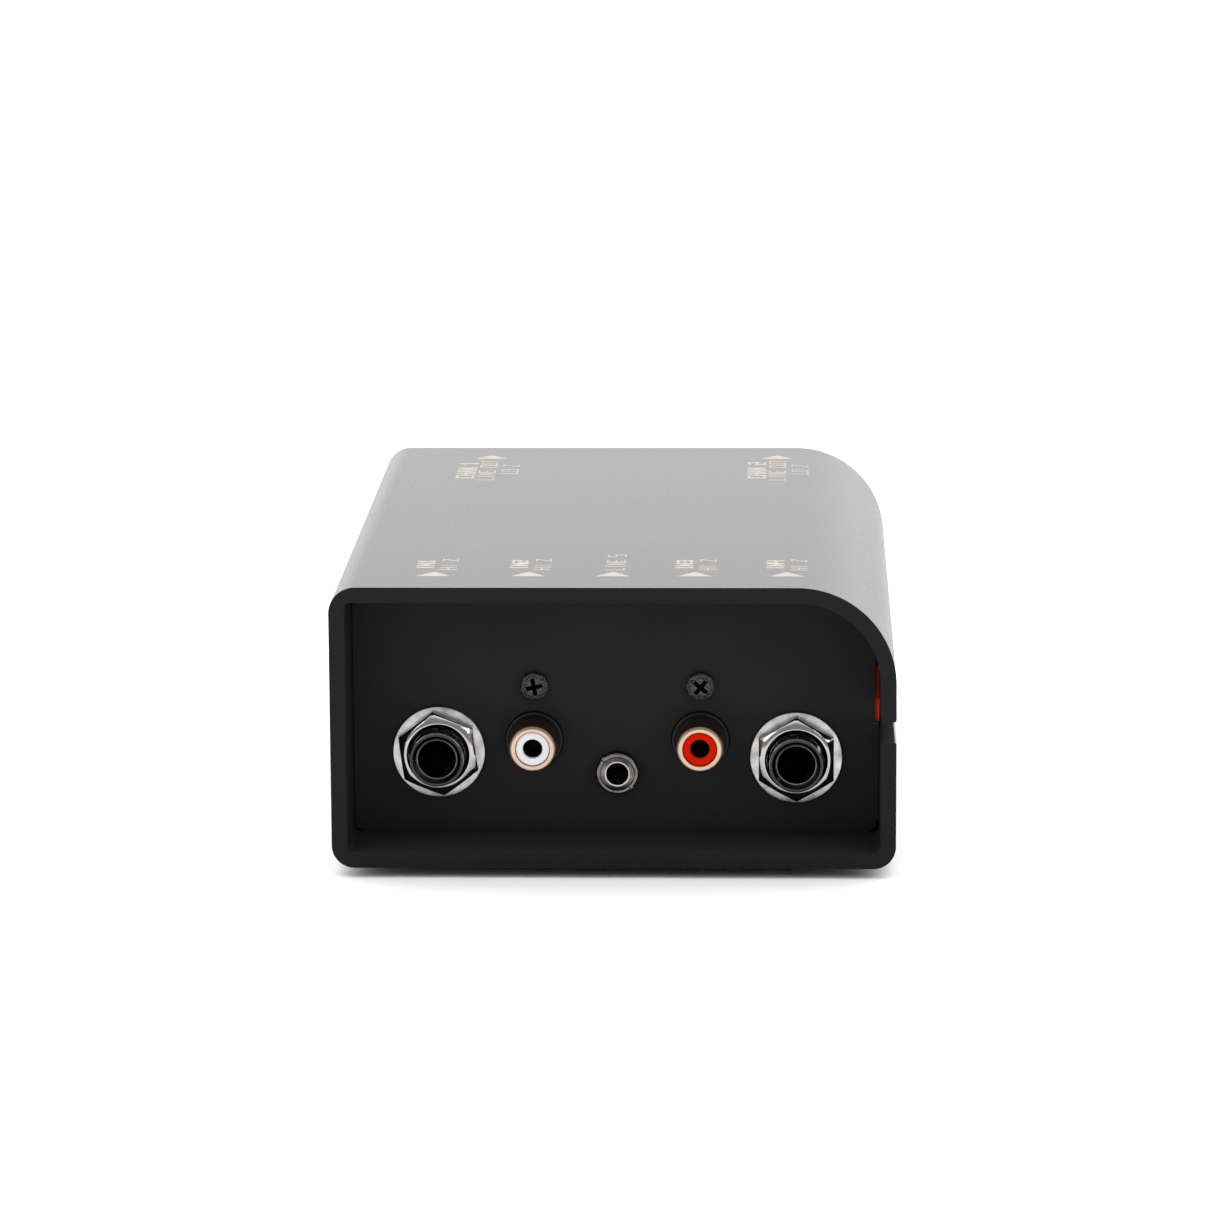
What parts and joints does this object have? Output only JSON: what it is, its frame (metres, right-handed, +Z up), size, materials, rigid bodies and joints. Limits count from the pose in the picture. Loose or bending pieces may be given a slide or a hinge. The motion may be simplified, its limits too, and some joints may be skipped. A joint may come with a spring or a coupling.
{
  "type": "direct injection box",
  "caption": "Stereo passive direct injection box with a rounded extruded shell, recessed jack and phono inputs in front and balanced outputs behind",
  "frame": {"origin": "centre of the footprint, on the plane under the rubber feet", "axes": "+X to the right seen from the input end, towards the large shoulder and side slot; +Y from the input end to the output end; +Z up"},
  "size_m": [0.097, 0.14, 0.051],
  "materials": {
    "powder_coat": "fine-textured satin black powder coat",
    "panel_paint": "matt black paint on folded steel",
    "accent": "orange-red satin paint",
    "foot_rubber": "matt black rubber",
    "zinc_hardware": "bright zinc plating",
    "board": "green solder mask on glass-fibre board",
    "resistor": "lacquered resistor body",
    "capacitor": "shrink-sleeved capacitor",
    "black_plastic": "moulded black nylon",
    "dark_nickel": "dark nickel plating on a threaded bush",
    "bright_zinc": "satin nickel plating",
    "contact_metal": "plated phosphor bronze",
    "pale_gold": "pale gold plating",
    "xlr_black": "black electroplated die-casting",
    "pin_silver": "silver plating",
    "can_metal": "drawn nickel-iron screening can",
    "core_steel": "stacked laminations",
    "bobbin_nylon": "natural nylon",
    "copper": "enamelled copper wire",
    "white_plastic": "white moulded plastic",
    "red_plastic": "red moulded plastic",
    "black_screw": "black zinc screw",
    "bright_nickel": "bright nickel plating"
  },
  "bodies": {
    "root": {"shell": "powder_coat", "accent_strip": "accent", "rubber_feet": "foot_rubber", "chassis_tray": "panel_paint", "clinch_nuts": "zinc_hardware", "tray_screws": "zinc_hardware", "main_board": "board", "board_standoffs": "zinc_hardware", "board_screws": "zinc_hardware", "resistors": "resistor", "capacitors": "capacitor", "jack_left_body": "black_plastic", "jack_left_bush": "dark_nickel", "jack_left_washer": "bright_zinc", "jack_left_nut": "bright_zinc", "jack_left_posts": "contact_metal", "jack_right_body": "black_plastic", "jack_right_bush": "dark_nickel", "jack_right_washer": "bright_zinc", "jack_right_nut": "bright_zinc", "jack_right_posts": "contact_metal", "phono_left_body": "black_plastic", "phono_left_barrel": "pale_gold", "phono_left_insulator": "white_plastic", "phono_left_contact": "contact_metal", "phono_right_body": "black_plastic", "phono_right_barrel": "pale_gold", "phono_right_insulator": "red_plastic", "phono_right_contact": "contact_metal", "phono_screws": "black_screw", "mini_jack_body": "black_plastic", "mini_jack_bush": "bright_nickel", "mini_jack_nut": "bright_nickel", "mini_jack_contacts": "contact_metal", "xlr_left_shell": "xlr_black", "xlr_left_insert": "black_plastic", "xlr_left_pins": "pin_silver", "xlr_right_shell": "xlr_black", "xlr_right_insert": "black_plastic", "xlr_right_pins": "pin_silver", "xlr_screws": "black_screw", "transformer_left_can": "can_metal", "transformer_left_core": "core_steel", "transformer_left_bobbin": "bobbin_nylon", "transformer_left_winding": "copper", "transformer_right_can": "can_metal", "transformer_right_core": "core_steel", "transformer_right_bobbin": "bobbin_nylon", "transformer_right_winding": "copper", "ground_lift_body": "zinc_hardware", "ground_lift_contacts": "contact_metal", "ground_lift_screws": "black_screw"},
    "jack_left_tip_spring": {"jack_left_tip_spring": "contact_metal"},
    "jack_left_ring_spring": {"jack_left_ring_spring": "contact_metal"},
    "jack_right_tip_spring": {"jack_right_tip_spring": "contact_metal"},
    "jack_right_ring_spring": {"jack_right_ring_spring": "contact_metal"},
    "ground_lift_slider": {"ground_lift_slider": "white_plastic"}
  },
  "joints": [
    {"name": "jack_left_tip_flex", "type": "hinge", "parent": "root", "child": "jack_left_tip_spring", "pos_m": [-0.0254, -0.0434, 0.0189], "axis": [0, 0, -1], "range_deg": [0, 5], "stiffness_Nm_per_rad": 0.05},
    {"name": "jack_left_ring_flex", "type": "hinge", "parent": "root", "child": "jack_left_ring_spring", "pos_m": [-0.0362, -0.0434, 0.0189], "axis": [0, 0, 1], "range_deg": [0, 8], "stiffness_Nm_per_rad": 0.05},
    {"name": "jack_right_tip_flex", "type": "hinge", "parent": "root", "child": "jack_right_tip_spring", "pos_m": [0.0368, -0.0434, 0.018], "axis": [0, 0, -1], "range_deg": [0, 5], "stiffness_Nm_per_rad": 0.05},
    {"name": "jack_right_ring_flex", "type": "hinge", "parent": "root", "child": "jack_right_ring_spring", "pos_m": [0.026, -0.0434, 0.018], "axis": [0, 0, 1], "range_deg": [0, 8], "stiffness_Nm_per_rad": 0.05},
    {"name": "ground_lift_slide", "type": "slide", "parent": "root", "child": "ground_lift_slider", "axis": [1, 0, 0], "range_m": [0, 0.003]}
  ]
}
